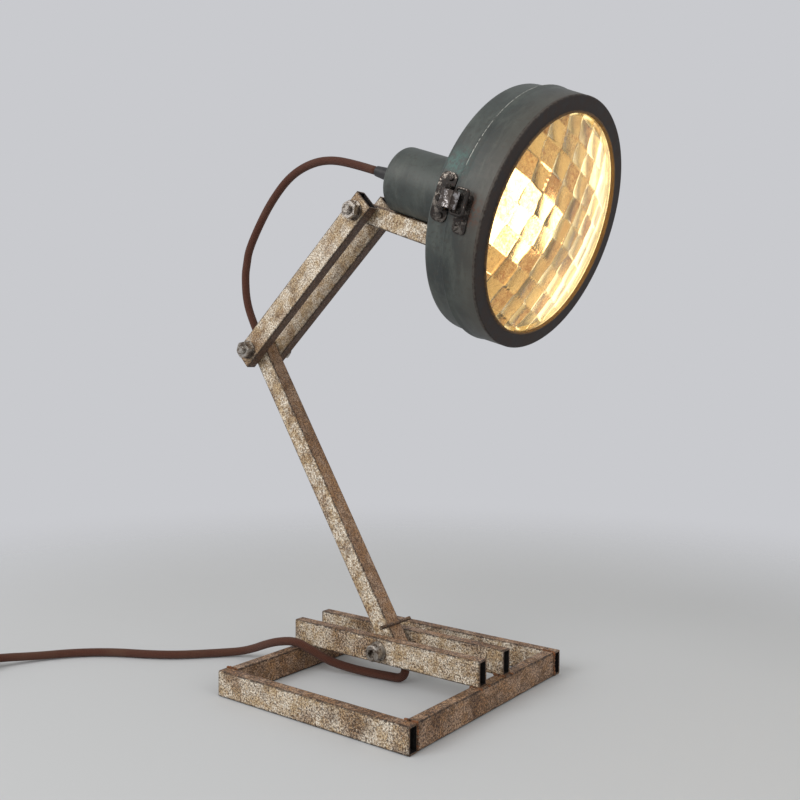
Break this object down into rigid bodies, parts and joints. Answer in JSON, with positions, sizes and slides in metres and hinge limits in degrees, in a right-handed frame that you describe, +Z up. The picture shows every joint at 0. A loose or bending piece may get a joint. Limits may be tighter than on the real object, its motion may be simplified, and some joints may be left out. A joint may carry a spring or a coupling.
{
  "type": "table lamp",
  "caption": "Articulated table lamp: open tube base, folding tube arms, round headlamp-style head with an amber glass, and a textile cord.",
  "frame": {"origin": "centre of the base frame's footprint, on the surface the lamp stands on", "axes": "+X along the base from the cord's side to the head's side, +Y from the latch side to the hinge side, +Z up"},
  "size_m": [0.5218, 0.4574, 0.4566],
  "materials": {
    "frame_paint": "distressed cream paint over rust-brown primer, dark at the edges",
    "head_paint": "dark green-grey patinated paint",
    "ring_paint": "charcoal-brown paint",
    "steel": "aged grey steel",
    "worn_chrome": "worn and pitted chrome",
    "reflector_metal": "satin, slightly dulled",
    "lens_amber": "amber pressed glass with a pattern of square blocks",
    "bulb_glow": "lit frosted glass",
    "cap_brass": "plain",
    "holder_ceramic": "white glaze",
    "black_rubber": "matte",
    "black_plastic": "matte",
    "core_plastic": "smooth",
    "cord_textile": "rust-brown braided textile"
  },
  "bodies": {
    "base": {"base_front_tube": "frame_paint", "base_back_tube": "frame_paint", "base_left_tube": "frame_paint", "base_right_tube": "frame_paint", "rail_front": "frame_paint", "rail_back": "frame_paint", "foot_bolt": "steel", "foot_nut": "steel", "foot_washers": "steel", "foot_spacers": "steel", "cord_table_run": "cord_textile", "cord_switch_run": "cord_textile", "cord_coil": "cord_textile", "cord_plug_run": "cord_textile", "switch_lower": "black_plastic", "switch_upper": "black_plastic", "plug_body": "black_plastic", "plug_pins": "cap_brass"},
    "lower_arm": {"lower_arm_tube": "frame_paint", "arm_stop_rod": "frame_paint", "cord_cores": "core_plastic", "cord_foot_end": "cord_textile", "cord_elbow_end": "cord_textile"},
    "upper_arm": {"upper_arm_front_tube": "frame_paint", "upper_arm_back_tube": "frame_paint", "elbow_bolt": "steel", "elbow_nut": "steel", "elbow_washers": "steel", "elbow_spacers": "steel", "wrist_bolt": "steel", "wrist_nut": "steel", "wrist_washers": "steel", "wrist_spacers": "steel", "cord_arc_lower": "cord_textile", "cord_arc_upper": "cord_textile"},
    "head": {"head_arm_tube": "frame_paint", "mount_screws": "steel", "socket_cup": "head_paint", "rear_shell": "head_paint", "reflector": "reflector_metal", "lamp_holder": "holder_ceramic", "bulb_cap": "cap_brass", "bulb_glass": "bulb_glow", "cord_gland": "black_plastic", "latch_plate": "steel", "latch_rivets": "steel", "latch_pin": "steel", "hinge_shell_leaf": "steel", "hinge_pin": "steel"},
    "rim": {"bezel_band": "head_paint", "front_ring": "ring_paint", "lens_glass": "lens_amber", "lens_gasket": "black_rubber", "lens_keeper": "steel", "hinge_rim_leaf": "steel", "latch_lug": "steel"},
    "lever": {"latch_lever": "worn_chrome"},
    "bail": {"latch_bail": "steel"},
    "rocker": {"switch_rocker": "black_plastic"}
  },
  "joints": [
    {"name": "base_pivot", "type": "hinge", "parent": "base", "child": "lower_arm", "pos_m": [-0.005, 0.006, 0.03], "axis": [0, 1, 0], "range_deg": [-25, 45]},
    {"name": "elbow_pivot", "type": "hinge", "parent": "lower_arm", "child": "upper_arm", "pos_m": [-0.15455, 0.006, 0.27026], "axis": [0, -1, 0], "range_deg": [-25, 75], "deforming": ["cord_arc_lower"]},
    {"name": "wrist_pivot", "type": "hinge", "parent": "upper_arm", "child": "head", "pos_m": [-0.03327, 0.006, 0.38139], "axis": [0, 1, 0], "range_deg": [-75, 30], "deforming": ["cord_arc_upper"]},
    {"name": "rim_hinge", "type": "hinge", "parent": "head", "child": "rim", "pos_m": [0.11123, 0.103, 0.36525], "axis": [0.342, 0, 0.9397], "range_deg": [0, 75]},
    {"name": "latch_lever_hinge", "type": "hinge", "parent": "head", "child": "lever", "pos_m": [0.10672, -0.0906, 0.36689], "axis": [-0.342, 0, -0.9397], "range_deg": [0, 110]},
    {"name": "latch_bail_hinge", "type": "hinge", "parent": "lever", "child": "bail", "pos_m": [0.11376, -0.0906, 0.36433], "axis": [-0.342, 0, -0.9397], "range_deg": [0, 60]},
    {"name": "switch_rocker_hinge", "type": "hinge", "parent": "base", "child": "rocker", "pos_m": [-0.3067, -0.20989, 0.0115], "axis": [-0.9239, 0.3827, 0], "range_deg": [-12, 0]}
  ]
}
